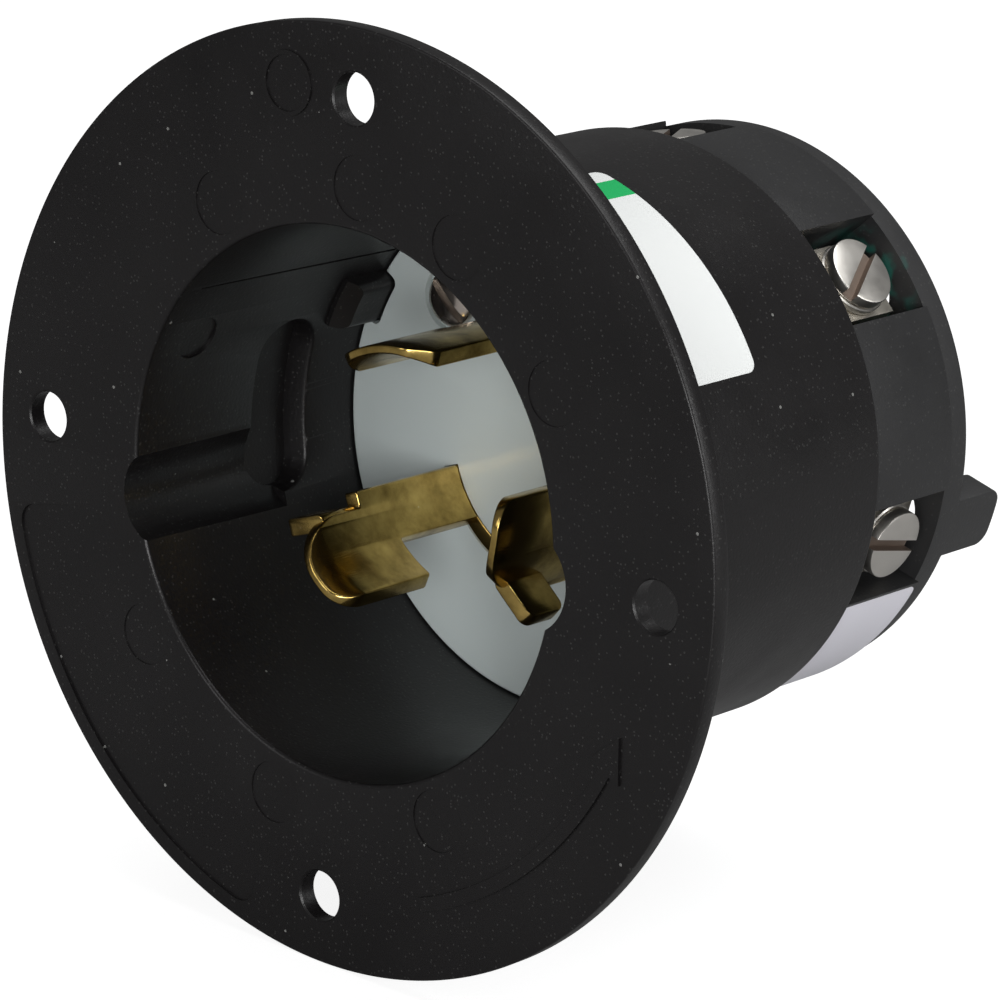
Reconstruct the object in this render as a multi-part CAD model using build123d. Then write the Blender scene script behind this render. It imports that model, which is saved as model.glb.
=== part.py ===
from build123d import *
import math
import os

# Flanged power inlet for a panel: a moulded flange and barrel, a white contact carrier with three
# hooked blades, a terminal body with four side windows, and a rear cap.
# The flange's back face lies on the panel, in the plane y = 0. The axis is Y, with the open mouth
# towards -Y and the wires leaving towards +Y. Depths below are counted from the flange's front face.
# Angles are seen from the front, from +X towards +Z.

# How far cutters run past what they cut
cut_over = 1.0

# Flange
flange_d = 101.0
flange_t = 2.2
flange_edge = 0.5
hole_inset = 7.4
hole_d = 5.5
hole_count = 4

# Front barrel and its bore
barrel_d = 66.2
mouth_wall = 3.6
bore_draft = 0.45
barrel_edge = 0.5
face_depth = 33.3
ledge_t = 3.0
ledge_width = 4.0
spigot_length = 4.0

# Locking channels in the bore: a round-bottomed groove in from the mouth, then a slot round the bore
channel_angles = (191.8, -3.0)
channel_core_r = 5.5
channel_deep = 2.1
slot_before_angle = 32.9
slot_after_angle = 6.0
slot_depth = 21.7
slot_width = 8.0

# Key rib in the bore
key_angle = 155.2
key_width_angle = 12.5
key_height = 2.1
key_length = 15.3
key_ramp = 1.6

# Sunk bare panel and raised turning arrow on the flange's front
panel_inset = 1.9
panel_width = 9.3
panel_start_angle = 193.0
panel_end_angle = 258.0
panel_deep = 0.25
arrow_inset = 8.2
arrow_width = 1.5
arrow_start_angle = -70.0
arrow_end_angle = -26.0
arrow_head = 4.4
arrow_raise = 0.3

# Contact carrier
carrier_t = 9.0
carrier_gap = 0.12
blade_slot_gap = 0.1

# Blades
blade_count = 3
blade_start_angle = 80.0
blade_inner_r = 13.6
blade_t = 1.9
blade_sweep_angle = 49.5
blade_reach = 26.7
stem_sweep_angle = 26.0
stem_length = 12.4
side_cut_angle = 5.5
side_cut_length = 8.4
side_bevel = 1.3
tip_rounds = (4.0, 3.0)
tip_lead = 0.8
tip_lead_length = 3.1
hook_round = 0.8
lug_angle = 6.8
lug_reach = 4.3
lug_setback = 5.4
lug_length = 5.0

# Terminal body and its windows
body_step = 0.8
body_length = 13.9
body_gap = 0.15
line_1_angle = 98.4
ground_angle = 42.4
line_2_angle = -15.0
neutral_angle = 222.4
window_width = 11.8
window_front_wall = 0.5

# Terminals, clamp plates and screws
strap_t = 2.5
strap_side_gap = 1.1
strap_rise = 4.0
strap_foot_t = 2.0
strap_gap = 0.1
strap_short = 1.8
clamp_plate_t = 1.5
clamp_side_gap = 1.4
clamp_lip = 0.9
head_d = 8.4
head_t = 2.5
head_sink = 0.9
screw_d = 4.8
screw_gap = 0.15
screw_short = 0.2
screw_setback = 0.2
slot_cut = 1.3
slot_cut_deep = 1.2
line_1_slot_angle = 30.0
ground_slot_angle = 44.5
line_2_slot_angle = -12.6
neutral_slot_angle = 75.0

# Ground strip that runs from the ground terminal into the right locking channel
strip_t = 0.8
strip_width = 6.0
strip_ring_width = 2.6
strip_strap_gap = 1.4
strip_gap = 0.1

# Rear cap
cap_step = 0.6
cap_t = 3.8
cap_edge = 0.8
wire_hole_d = 8.0
tab_angles = (-12.6, 167.4)
tab_width = 9.6
tab_t = 4.0
tab_length = 7.2
tab_round = 1.5

# Assembly screws
bolt_angles = (137.5, 317.5)
bolt_inset = 4.65
bolt_d = 4.0
bolt_gap = 0.2
bolt_head_d = 6.2
bolt_head_t = 1.6
bolt_sink_d = 7.4
bolt_sink = 0.8
bolt_slot = 0.9
nut_across = 7.0
nut_t = 2.8
nut_floor = 0.9
bolt_short = 0.5

# Labels
label_t = 0.15
front_label_start_angle = 28.1
front_label_end_angle = 78.5
front_label_setback = 11.8
front_label_length = 19.8
rear_label_start_angle = -84.0
rear_label_end_angle = -26.2
rear_label_edge = 0.3

# Radii that follow from the sizes above
flange_r = flange_d / 2
hole_circle_r = flange_r - hole_inset
panel_outer_r = flange_r - panel_inset
panel_inner_r = panel_outer_r - panel_width
arrow_r = flange_r - arrow_inset
barrel_r = barrel_d / 2
mouth_r = barrel_r - mouth_wall
seat_r = mouth_r - bore_draft
ledge_r = seat_r - ledge_width
channel_r = mouth_r + channel_deep
blade_outer_r = blade_inner_r + blade_t
body_r = barrel_r - body_step
cap_r = body_r - cap_step
bolt_r = ledge_r - bolt_inset
strap_seat_r = blade_outer_r + strap_rise
strap_top_r = strap_seat_r + strap_t
strip_inner_r = strap_top_r + strip_strap_gap
head_under_r = body_r - head_sink - head_t
plate_under_r = head_under_r - clamp_plate_t
wire_r = (strap_top_r + plate_under_r) / 2

# Depths that follow from them
tip_depth = face_depth - blade_reach
hook_depth = face_depth - stem_length
carrier_back = face_depth + carrier_t
key_front = carrier_back - key_length
ledge_back = carrier_back + ledge_t
barrel_depth = ledge_back + spigot_length
window_front = barrel_depth + window_front_wall
body_depth = barrel_depth + body_length
screw_depth = (window_front + body_depth) / 2 + screw_setback
strap_end = body_depth - strap_short
cap_back = body_depth + cap_t

# Widths, and the place of each terminal and the turn of its screw's slot
strap_width = window_width - 2 * strap_side_gap
clamp_plate_width = window_width - 2 * clamp_side_gap
terminals = {
    "line_1": (line_1_angle, line_1_slot_angle),
    "ground": (ground_angle, ground_slot_angle),
    "line_2": (line_2_angle, line_2_slot_angle),
    "neutral": (neutral_angle, neutral_slot_angle),
}


def at(depth):
    """Sketch plane at a depth behind the front face, drawn as seen from the front."""
    return Plane((0, depth - flange_t, 0), x_dir=(1, 0, 0), z_dir=(0, -1, 0))


def slab(sketch, front, back):
    """Solid of a sketch, or of a list of them, between two depths."""
    return extrude(at(front) * (Sketch() + sketch), amount=front - back)


def sector(inner_r, outer_r, start, end):
    """Face between two radii and two angles."""
    inner = CenterArc((0, 0), inner_r, start, end - start)
    outer = CenterArc((0, 0), outer_r, start, end - start)
    sides = [Line(inner @ 0, outer @ 0), Line(inner @ 1, outer @ 1)]
    return make_face([inner, outer] + sides)


def polar(radius, angle):
    """Point in the sketch plane at a radius and an angle."""
    return (radius * math.cos(math.radians(angle)), radius * math.sin(math.radians(angle)))


def spot(radius, angle, depth):
    """Point in space at a radius, an angle and a depth."""
    x, z = polar(radius, angle)
    return Vector(x, depth - flange_t, z)


def outward(angle, depth):
    """Plane through the axis at a depth, facing outwards at an angle, with its own x along the axis."""
    x, z = polar(1, angle)
    return Plane((0, depth - flange_t, 0), x_dir=(0, 1, 0), z_dir=(x, 0, z))


def radial_pin(radius, angle, depth, inner_r, outer_r):
    """Round pin that points outwards between two radii."""
    pin = Cylinder(radius, outer_r - inner_r, align=(Align.CENTER, Align.CENTER, Align.MIN))
    return outward(angle, depth) * Pos(0, 0, inner_r) * pin


def radial_block(length, width, angle, depth, inner_r, outer_r):
    """Block that points outwards, with its length along the axis and its width across."""
    block = Box(length, width, outer_r - inner_r, align=(Align.CENTER, Align.CENTER, Align.MIN))
    return outward(angle, depth) * Pos(0, 0, inner_r) * block


def turned(points):
    """Solid turned about the axis from a closed outline of radius and depth pairs."""
    return revolve(make_face(Polyline([(x, y - flange_t) for x, y in points], close=True)), Axis.Y)


def edges_near(shape, points):
    """The edge of a shape whose middle is nearest to each point."""
    return [min(shape.edges(), key=lambda e: (e.center() - p).length) for p in points]


def rims(shape, radius, depth):
    """Circular edges of a shape that have a radius and lie at a depth."""
    y = depth - flange_t
    circles = shape.edges().filter_by(GeomType.CIRCLE)
    return [e for e in circles if abs(e.radius - radius) < 1e-4 and abs(e.center().Y - y) < 1e-4]


def save(shape, name):
    """Write one node and return it."""
    shape.label = name
    export_step(shape, f"parts/{name}.step")
    return shape


def locking_channel(angle):
    """Cutter of one bent locking channel."""
    half = slot_width / 2
    half_angle = math.degrees(half / channel_r)
    ends = (angle - slot_before_angle + half_angle, angle + slot_after_angle - half_angle)
    core = Pos(*polar(channel_r - channel_core_r, angle)) * Circle(channel_core_r)
    groove = slab(core, -cut_over, slot_depth)
    slot = slab(sector(ledge_r, channel_r, *ends), slot_depth - half, slot_depth + half)
    rounds = [radial_pin(half, end, slot_depth, ledge_r, barrel_r) for end in ends]
    return groove + ((slot + rounds) & slab(Circle(channel_r), 0, barrel_depth))


def strip_groove(gap):
    """Room of the ground strip, grown by a gap. The strip itself stands clear of the channel's wall."""
    outer_r = channel_r - strip_gap + gap
    middle = channel_angles[1] - slot_before_angle / 2
    half_angle = math.degrees((strip_width / 2 + gap) / channel_r)
    start = middle - half_angle
    end = middle + half_angle
    front = ledge_back - gap
    back = ledge_back + strip_t + gap
    tip = slot_depth - slot_width / 4 - gap
    finger = slab(sector(outer_r - strip_t - 2 * gap, outer_r, start, end), tip, back)
    leg = slab(sector(strip_inner_r - gap, outer_r, start, end), front, back)
    ring_end = ground_angle + math.degrees((strap_width / 2 + gap) / strip_inner_r)
    ring = sector(strip_inner_r - gap, strip_inner_r + strip_ring_width + gap, middle, ring_end)
    return finger + leg + slab(ring, front, back)


def key_rib(gap):
    """Key on the bore wall that turns the carrier the right way, grown by a gap."""
    half = key_width_angle / 2 + math.degrees(gap / seat_r)
    inner_r = seat_r - key_height - gap
    section = sector(inner_r, mouth_r + mouth_wall / 2, key_angle - half, key_angle + half)
    rib = slab(section, key_front, carrier_back)
    middle = (key_front + carrier_back) / 2
    corners = [spot(inner_r, key_angle + side * half, middle) for side in (-1, 1)]
    reach = key_ramp + cut_over
    front = key_front - cut_over
    low_r = inner_r - cut_over
    cone = turned([(low_r, front), (inner_r + reach, front), (low_r, key_front + reach)])
    return fillet(edges_near(rib, corners), key_height / 2) - cone


def arrow():
    """Raised plain arrow on the flange that shows which way the mating part turns."""
    inner_r = arrow_r - arrow_width / 2
    shaft = sector(inner_r, inner_r + arrow_width, arrow_start_angle, arrow_end_angle)
    tip_angle = arrow_end_angle + math.degrees(arrow_head / arrow_r)
    base = [polar(arrow_r + side * arrow_head / 2, arrow_end_angle) for side in (-1, 1)]
    head = make_face(Polyline([base[0], polar(arrow_r, tip_angle), base[1]], close=True))
    return slab(shaft + head, -arrow_raise, 0)


def flange_housing():
    """Black moulding: mounting flange, barrel, locking channels, key rib and ledge."""
    flange = [(mouth_r, 0), (flange_r, 0), (flange_r, flange_t), (barrel_r, flange_t)]
    rear = [(barrel_r, barrel_depth), (seat_r, barrel_depth), (seat_r, ledge_back), (ledge_r, ledge_back)]
    bore = [(ledge_r, carrier_back), (seat_r, carrier_back), (seat_r, face_depth)]
    body = turned(flange + rear + bore)
    body = chamfer(rims(body, flange_r, 0) + rims(body, mouth_r, 0), flange_edge)
    body = chamfer(rims(body, barrel_r, barrel_depth), barrel_edge)
    body += key_rib(0)
    for angle in channel_angles:
        body -= locking_channel(angle)
    body -= strip_groove(strip_gap)
    holes = PolarLocations(hole_circle_r, hole_count) * Circle(hole_d / 2)
    body -= slab(holes, -cut_over, flange_t + cut_over)
    body -= slab(sector(panel_inner_r, panel_outer_r, panel_start_angle, panel_end_angle), 0, panel_deep)
    body += arrow()
    return body - front_label_room(cut_over)


def blade(angle):
    """Brass blade rolled to the contact circle: wide root, narrow stem and a hooked head with a side lug."""
    mean_r = (blade_inner_r + blade_outer_r) / 2
    low_r = blade_inner_r - cut_over
    high_r = blade_outer_r + cut_over
    end = angle + blade_sweep_angle
    stem_end = angle + stem_sweep_angle
    side = angle + side_cut_angle
    side_depth = tip_depth + side_cut_length
    strip = slab(sector(blade_inner_r, blade_outer_r, angle, end), tip_depth, ledge_back)
    strip -= slab(sector(low_r, high_r, stem_end, end + 1), hook_depth, face_depth)
    strip -= slab(sector(low_r, high_r, angle - 1, side), 0, side_depth)
    for turn, radius in zip((side, end), tip_rounds):
        strip = fillet(edges_near(strip, [spot(mean_r, turn, tip_depth)]), radius)
    hook = [spot(mean_r, turn, hook_depth) for turn in (stem_end, end)]
    strip = fillet(edges_near(strip, hook), hook_round)
    strip = chamfer(edges_near(strip, [spot(mean_r, angle, side_depth)]), side_bevel)
    lead_r = blade_inner_r + tip_lead
    lead_end = tip_depth + tip_lead_length
    strip -= turned([(0, 0), (lead_r, 0), (lead_r, tip_depth), (blade_inner_r, lead_end), (0, lead_end)])
    lug_middle = tip_depth + lug_setback + lug_length / 2
    lug_end = blade_outer_r + lug_reach
    return strip + radial_block(lug_length, blade_t, angle + lug_angle, lug_middle, mean_r, lug_end)


def blade_slot(angle):
    """Cutter of the slot in the carrier that holds a blade's root."""
    gap = blade_slot_gap
    side = math.degrees(gap / blade_inner_r)
    face = sector(blade_inner_r - gap, blade_outer_r + gap, angle - side, angle + blade_sweep_angle + side)
    return slab(face, face_depth - cut_over, ledge_back + cut_over)


def bolt_hole(angle, front, back):
    """Cutter of an assembly screw's clear hole."""
    return slab(Pos(*polar(bolt_r, angle)) * Circle(bolt_d / 2 + bolt_gap), front, back)


def contact_carrier():
    """White disc that slides in from the mouth, sits on the ledge and holds the blades."""
    disc = slab(Circle(seat_r - carrier_gap), face_depth, carrier_back)
    disc += slab(Circle(ledge_r - carrier_gap), carrier_back, ledge_back)
    disc -= key_rib(carrier_gap)
    for angle in blade_angles:
        disc -= blade_slot(angle)
    for angle in bolt_angles:
        disc -= bolt_hole(angle, face_depth - cut_over, ledge_back + cut_over)
        sink = Pos(*polar(bolt_r, angle)) * Circle(bolt_sink_d / 2)
        disc -= slab(sink, face_depth - cut_over, face_depth + bolt_sink)
    return disc


def screw_hole(angle, inner_r, outer_r):
    """Cutter of a terminal screw's hole between two radii."""
    return radial_pin(screw_d / 2 + screw_gap, angle, screw_depth, inner_r - cut_over, outer_r + cut_over)


def foot_place(name):
    """Inner radius, outer radius and front depth of a strap's foot: the ground foot is behind its strip."""
    if name == "ground":
        return strap_seat_r, strip_inner_r + strip_ring_width, ledge_back + strip_t
    return blade_inner_r, strap_top_r, ledge_back


def terminal_strap(name, angle):
    """Brass strap: a foot behind the carrier and a tapped seat under the window."""
    inner_r, outer_r, front = foot_place(name)
    middle = (front + strap_end) / 2
    seat = radial_block(strap_end - front, strap_width, angle, middle, strap_seat_r, strap_top_r)
    foot_middle = front + strap_foot_t / 2
    foot = radial_block(strap_foot_t, strap_width, angle, foot_middle, inner_r, outer_r)
    return seat + foot - screw_hole(angle, strap_seat_r, strap_top_r)


def strap_room(name, angle):
    """Cutter of a strap's room in the terminal body."""
    inner_r, outer_r, front = foot_place(name)
    width = strap_width + 2 * strap_gap
    top_r = strap_top_r + strap_gap
    foot_back = front + strap_foot_t + strap_gap
    seat_middle = (ledge_back + strap_end) / 2
    foot_middle = (ledge_back + foot_back) / 2
    seat = radial_block(strap_end - ledge_back, width, angle, seat_middle, strap_seat_r, top_r)
    low_r = inner_r - strap_gap
    high_r = outer_r + strap_gap
    return seat + radial_block(foot_back - ledge_back, width, angle, foot_middle, low_r, high_r)


def terminal_body():
    """Black moulding behind the barrel with a screw window for each terminal."""
    body = slab(Circle(seat_r - body_gap), ledge_back, barrel_depth)
    body += slab(Circle(body_r), barrel_depth, body_depth)
    length = body_depth - window_front
    for name, (angle, _) in terminals.items():
        body -= radial_block(length, window_width, angle, window_front + length / 2, strap_seat_r, barrel_r)
        body -= strap_room(name, angle)
    body -= strip_groove(strip_gap)
    for angle in bolt_angles:
        body -= bolt_hole(angle, ledge_back - cut_over, body_depth + cut_over)
    return body - rear_label_room(cut_over)


def clamp_plate(angle):
    """Square pressure plate under a terminal screw, with two lips that keep the wire in."""
    size = clamp_plate_width
    plate = radial_block(size, size, angle, screw_depth, plate_under_r, head_under_r)
    for side in (-1, 1):
        across = side * (size - clamp_lip) / 2
        lip = Box(size, clamp_lip, clamp_lip, align=(Align.CENTER, Align.CENTER, Align.MAX))
        plate += outward(angle, screw_depth) * Pos(0, across, plate_under_r) * lip
    return plate - screw_hole(angle, plate_under_r, head_under_r)


def terminal_screw(angle, slot_angle):
    """Slotted flat-headed screw that points at the axis and ends inside its strap."""
    shank = radial_pin(screw_d / 2, angle, screw_depth, strap_seat_r + screw_short, head_under_r)
    top_r = head_under_r + head_t
    head = radial_pin(head_d / 2, angle, screw_depth, head_under_r, top_r)
    slot = outward(angle, screw_depth) * Pos(0, 0, top_r) * Rot(0, 0, slot_angle)
    return shank + head - slot * Box(2 * head_d, slot_cut, 2 * slot_cut_deep)


def ground_strip():
    """Thin brass strip from the ground terminal's foot to a finger in the right locking channel."""
    return strip_groove(0)


def rear_cap():
    """Black end plate with wire holes, nut pockets and two tabs."""
    cap = slab(Circle(cap_r), body_depth, cap_back)
    cap = chamfer(cap.edges().group_by(Axis.Y)[-1], cap_edge)
    length = cap_t + tab_length
    tab_end = body_depth + length
    tab_inner_r = cap_r - tab_t
    for angle in tab_angles:
        tab = radial_block(length, tab_width, angle, body_depth + length / 2, tab_inner_r, body_r)
        end = outward(angle, tab_end)
        middle_r = (tab_inner_r + body_r) / 2
        corners = [end.from_local_coords((0, side * tab_width / 2, middle_r)) for side in (-1, 1)]
        tab = fillet(edges_near(tab, corners), tab_round)
        cap += tab & slab(Circle(cap_r), body_depth, tab_end)
    for angle, _ in terminals.values():
        wire_hole = Pos(*polar(wire_r, angle)) * Circle(wire_hole_d / 2)
        cap -= slab(wire_hole, body_depth - cut_over, tab_end + cut_over)
    for angle in bolt_angles:
        cap -= bolt_hole(angle, body_depth - cut_over, cap_back + cut_over)
        place = Pos(*polar(bolt_r, angle)) * Rot(0, 0, angle)
        pocket = place * RegularPolygon(nut_across / 2 + bolt_gap, 6, major_radius=False)
        cap -= slab(pocket, body_depth + nut_floor, cap_back + cut_over)
    return cap


def assembly_screw(angle):
    """Long screw with a slotted flat head on the carrier."""
    seat = face_depth + bolt_sink
    head_front = seat - bolt_head_t
    place = Pos(*polar(bolt_r, angle))
    head = slab(place * Circle(bolt_head_d / 2), head_front, seat)
    shank = slab(place * Circle(bolt_d / 2), seat, cap_back - bolt_short)
    slot = place * Rot(0, 0, angle) * Rectangle(2 * bolt_head_d, bolt_slot)
    return head + shank - slab(slot, head_front - cut_over, face_depth)


def lock_nut(angle):
    """Hexagon nut of an assembly screw, sunk in the rear cap."""
    hexagon = RegularPolygon(nut_across / 2, 6, major_radius=False) - Circle(bolt_d / 2)
    front = body_depth + nut_floor
    return slab(Pos(*polar(bolt_r, angle)) * Rot(0, 0, angle) * hexagon, front, front + nut_t)


def front_label_room(over):
    """Label on the barrel, or its seat where it runs on outwards."""
    sheet = sector(barrel_r - label_t, barrel_r + over, front_label_start_angle, front_label_end_angle)
    return slab(sheet, front_label_setback, front_label_setback + front_label_length)


def rear_label_room(over):
    """Label on the terminal body, or its seat where it runs on outwards."""
    sheet = sector(body_r - label_t, body_r + over, rear_label_start_angle, rear_label_end_angle)
    return slab(sheet, barrel_depth + rear_label_edge, body_depth - rear_label_edge)


blade_angles = [blade_start_angle + i * 360 / blade_count for i in range(blade_count)]
blade_names = ("line_1_blade", "neutral_blade", "line_2_blade")

os.makedirs("parts", exist_ok=True)
save(flange_housing(), "flange_housing")
save(contact_carrier(), "contact_carrier")
save(terminal_body(), "terminal_body")
save(rear_cap(), "rear_cap")
for name, angle in zip(blade_names, blade_angles):
    save(blade(angle), name)
for name, (angle, slot_angle) in terminals.items():
    save(terminal_strap(name, angle), f"{name}_terminal")
    save(clamp_plate(angle), f"{name}_clamp_plate")
    save(terminal_screw(angle, slot_angle), f"{name}_screw")
save(ground_strip(), "ground_strip")
for side, angle in zip(("upper", "lower"), bolt_angles):
    save(assembly_screw(angle), f"{side}_assembly_screw")
    save(lock_nut(angle), f"{side}_lock_nut")
save(front_label_room(0), "front_label")
save(rear_label_room(0), "rear_label")
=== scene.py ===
import math

import bmesh
import bpy
from mathutils import Matrix, Vector


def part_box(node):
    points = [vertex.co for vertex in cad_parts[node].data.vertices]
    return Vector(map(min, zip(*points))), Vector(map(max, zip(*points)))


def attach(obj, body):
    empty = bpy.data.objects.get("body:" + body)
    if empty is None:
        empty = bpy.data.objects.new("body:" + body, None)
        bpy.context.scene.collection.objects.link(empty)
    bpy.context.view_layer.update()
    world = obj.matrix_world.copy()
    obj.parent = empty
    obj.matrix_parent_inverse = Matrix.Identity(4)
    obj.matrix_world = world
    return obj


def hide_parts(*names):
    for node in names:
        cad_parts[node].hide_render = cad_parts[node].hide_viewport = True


# A flanged power inlet for a panel. Sizes are in millimetres until a piece is finished. The axis is Y,
# depths are counted from the flange's front face, and angles are seen from the front, from +X towards +Z.
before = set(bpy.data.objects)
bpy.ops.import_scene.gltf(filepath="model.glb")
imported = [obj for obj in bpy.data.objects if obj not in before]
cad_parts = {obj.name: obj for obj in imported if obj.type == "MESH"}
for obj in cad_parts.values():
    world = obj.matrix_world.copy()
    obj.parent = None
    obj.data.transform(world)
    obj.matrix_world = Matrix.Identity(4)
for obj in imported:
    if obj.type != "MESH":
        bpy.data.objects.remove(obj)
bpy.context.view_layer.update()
MM = 0.001

# Flange housing
# One black moulding: a thin round flange with four panel holes and a deep barrel behind it. The bore has
# two round-bottomed locking channels that bend into slots, a key rib, and the marks that the mould left.

housing_low, housing_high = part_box("flange_housing")
flange_r = housing_high.x / MM
flange_t = 2.2
barrel_depth = housing_high.y / MM + flange_t
barrel_r = 33.1
mouth_r = 29.5
seat_r = 29.05
ledge_r = 25.05
face_depth = 33.3
ledge_front = 42.3
ledge_back = 45.3
ring_steps = 288
mouth_round = 0.5
front_edge = 0.28
back_edge = 0.2


def turn_outline(outline, closed=True, steps=ring_steps):
    """Mesh of an outline of radius and depth pairs turned about the axis."""
    mesh = bmesh.new()
    points = [mesh.verts.new((radius, depth - flange_t, 0)) for radius, depth in outline]
    for start, end in zip(points, points[1:]):
        mesh.edges.new((start, end))
    if closed:
        mesh.edges.new((points[-1], points[0]))
    bmesh.ops.spin(mesh, geom=mesh.verts[:] + mesh.edges[:], axis=(0, 1, 0), cent=(0, 0, 0),
                   angle=math.tau, steps=steps, use_merge=True)
    bmesh.ops.remove_doubles(mesh, verts=mesh.verts, dist=1e-4)
    bmesh.ops.recalc_face_normals(mesh, faces=mesh.faces)
    return mesh


def round_rims(mesh, rims, width, segments=3):
    """Rounds the full circles of a turned mesh that lie at the given radius and depth pairs."""
    chosen = []
    for edge in mesh.edges:
        for radius, depth in rims:
            if all(abs(math.hypot(v.co.x, v.co.z) - radius) < 0.01
                   and abs(v.co.y - depth + flange_t) < 0.01 for v in edge.verts):
                chosen.append(edge)
    bmesh.ops.bevel(mesh, geom=chosen, offset=width, offset_type="OFFSET", affect="EDGES",
                    segments=segments, profile=0.5, material=-1, clamp_overlap=True)


def polar(radius, angle):
    """Place across the axis at a radius and an angle."""
    return Vector((radius * math.cos(math.radians(angle)), 0, radius * math.sin(math.radians(angle))))


def pin(radius, front, back, place, end_radius=None, sides=64):
    """Round pin along the axis between two depths, which may taper."""
    mesh = bmesh.new()
    middle = place + Vector((0, (front + back) / 2 - flange_t, 0))
    turned = Matrix.Translation(middle) @ Matrix.Rotation(math.pi / 2, 4, "X")
    bmesh.ops.create_cone(mesh, cap_ends=True, segments=sides, radius1=end_radius or radius,
                          radius2=radius, depth=back - front, matrix=turned)
    return mesh


def join(*meshes):
    """One mesh out of several that lie apart."""
    for other in meshes[1:]:
        data = bpy.data.meshes.new("joining")
        other.to_mesh(data)
        meshes[0].from_mesh(data)
        other.free()
    return meshes[0]


def carve(body, tool, operation="DIFFERENCE"):
    """Cuts one mesh with another, or joins the two into one skin."""
    objects = []
    for mesh in (body, tool):
        mesh.normal_update()
        bmesh.ops.recalc_face_normals(mesh, faces=mesh.faces)
        data = bpy.data.meshes.new("carving")
        mesh.to_mesh(data)
        mesh.free()
        objects.append(bpy.data.objects.new("carving", data))
        bpy.context.scene.collection.objects.link(objects[-1])
    cut = objects[0].modifiers.new("cut", "BOOLEAN")
    cut.operation = operation
    cut.solver = "MANIFOLD"
    cut.object = objects[1]
    done = bmesh.new()
    done.from_object(objects[0], bpy.context.evaluated_depsgraph_get())
    for used in objects:
        bpy.data.objects.remove(used)
    return done


def cut_at(mesh, place, normal, clear_outer=False):
    """Divides a mesh along a plane, and can clear what lies beyond it."""
    geometry = mesh.verts[:] + mesh.edges[:] + mesh.faces[:]
    bmesh.ops.bisect_plane(mesh, geom=geometry, plane_co=place, plane_no=normal, clear_outer=clear_outer)


def slice_across(mesh, low, high, count):
    """Divides a flat mesh into strips across x, so that it can be rolled."""
    for i in range(1, count):
        cut_at(mesh, (low + (high - low) * i / count, 0, 0), (1, 0, 0))


def roll(mesh, angle, depth, radius):
    """Rolls a flat mesh about the axis: x runs round at the given radius, y along the axis, z outwards."""
    for vert in mesh.verts:
        turn = angle + math.degrees(vert.co.x / radius)
        place = polar(vert.co.z, turn)
        vert.co = (place.x, vert.co.y + depth - flange_t, place.z)
    bmesh.ops.reverse_faces(mesh, faces=mesh.faces)
    mesh.normal_update()
    return mesh


def block(size, place):
    """Block of the given size about a place."""
    mesh = bmesh.new()
    bmesh.ops.create_cube(mesh, size=1)
    bmesh.ops.scale(mesh, verts=mesh.verts, vec=size)
    bmesh.ops.translate(mesh, verts=mesh.verts, vec=place)
    return mesh


def flat_block(width, length, low, high):
    """Block to be rolled: its width runs round, its length along the axis, between two radii."""
    return block((width, length, high - low), (0, 0, (low + high) / 2))


def rolled_strip(width, length, low, high, angle, depth, radius, strips=6):
    """Flat block cut into strips and rolled to its place."""
    mesh = flat_block(width, length, low, high)
    slice_across(mesh, -width / 2, width / 2, strips)
    return roll(mesh, angle, depth, radius)


def push_out(mesh, way):
    """Gives flat faces a thickness."""
    made = bmesh.ops.extrude_face_region(mesh, geom=mesh.faces[:])["geom"]
    verts = [part for part in made if isinstance(part, bmesh.types.BMVert)]
    bmesh.ops.translate(mesh, verts=verts, vec=way)


def span(edge, axis):
    """How far an edge runs along x, y or z."""
    return abs(getattr(edge.verts[0].co, axis) - getattr(edge.verts[1].co, axis))


def bevel_edges(mesh, choose, width, segments=2):
    """Rounds the edges that a test picks out."""
    chosen = [edge for edge in mesh.edges if choose(edge)]
    bmesh.ops.bevel(mesh, geom=chosen, offset=width, offset_type="OFFSET", affect="EDGES",
                    segments=segments, profile=0.5, material=-1, clamp_overlap=True)


def finish_piece(mesh, name, material, slot, *nodes, crease=32):
    """Turns a mesh in millimetres into a finished piece that stands for its CAD nodes."""
    bmesh.ops.remove_doubles(mesh, verts=mesh.verts, dist=0.002)
    bmesh.ops.dissolve_degenerate(mesh, edges=mesh.edges, dist=0.002)
    bmesh.ops.scale(mesh, verts=mesh.verts, vec=(MM, MM, MM))
    for face in mesh.faces:
        face.smooth = True
    for edge in mesh.edges:
        edge.smooth = len(edge.link_faces) == 2 and edge.calc_face_angle(0) < math.radians(crease)
    data = bpy.data.meshes.new(name)
    mesh.to_mesh(data)
    mesh.free()
    data.materials.append(material)
    piece = bpy.data.objects.new(name, data)
    bpy.context.scene.collection.objects.link(piece)
    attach(piece, "root")
    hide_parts(*nodes)
    return piece


housing = turn_outline([
    (mouth_r, 0), (flange_r, 0), (flange_r, flange_t), (barrel_r, flange_t), (barrel_r, barrel_depth),
    (seat_r, barrel_depth), (seat_r, ledge_back), (ledge_r, ledge_back), (ledge_r, ledge_front),
    (seat_r, ledge_front), (seat_r, face_depth),
])
round_rims(housing, [(mouth_r, 0), (barrel_r, barrel_depth)], mouth_round, 4)
round_rims(housing, [(flange_r, 0)], front_edge, 3)
round_rims(housing, [(flange_r, flange_t)], back_edge, 2)

channel_r = 31.6
groove_core_r = 5.5
slot_depth = 21.7
slot_half = 4.0
channels = (191.8, -3.0)
slot_before = 32.9
slot_after = 6.0
# heights over the bore's wall, each with how much wider than its middle the slot is there
slot_walls = ((-1.5, 1.6), (-0.06, 0.42), (0.06, 0.2), (0.2, 0.06), (0.4, 0), (1.5, -0.6), (2.4, -0.75))


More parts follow.
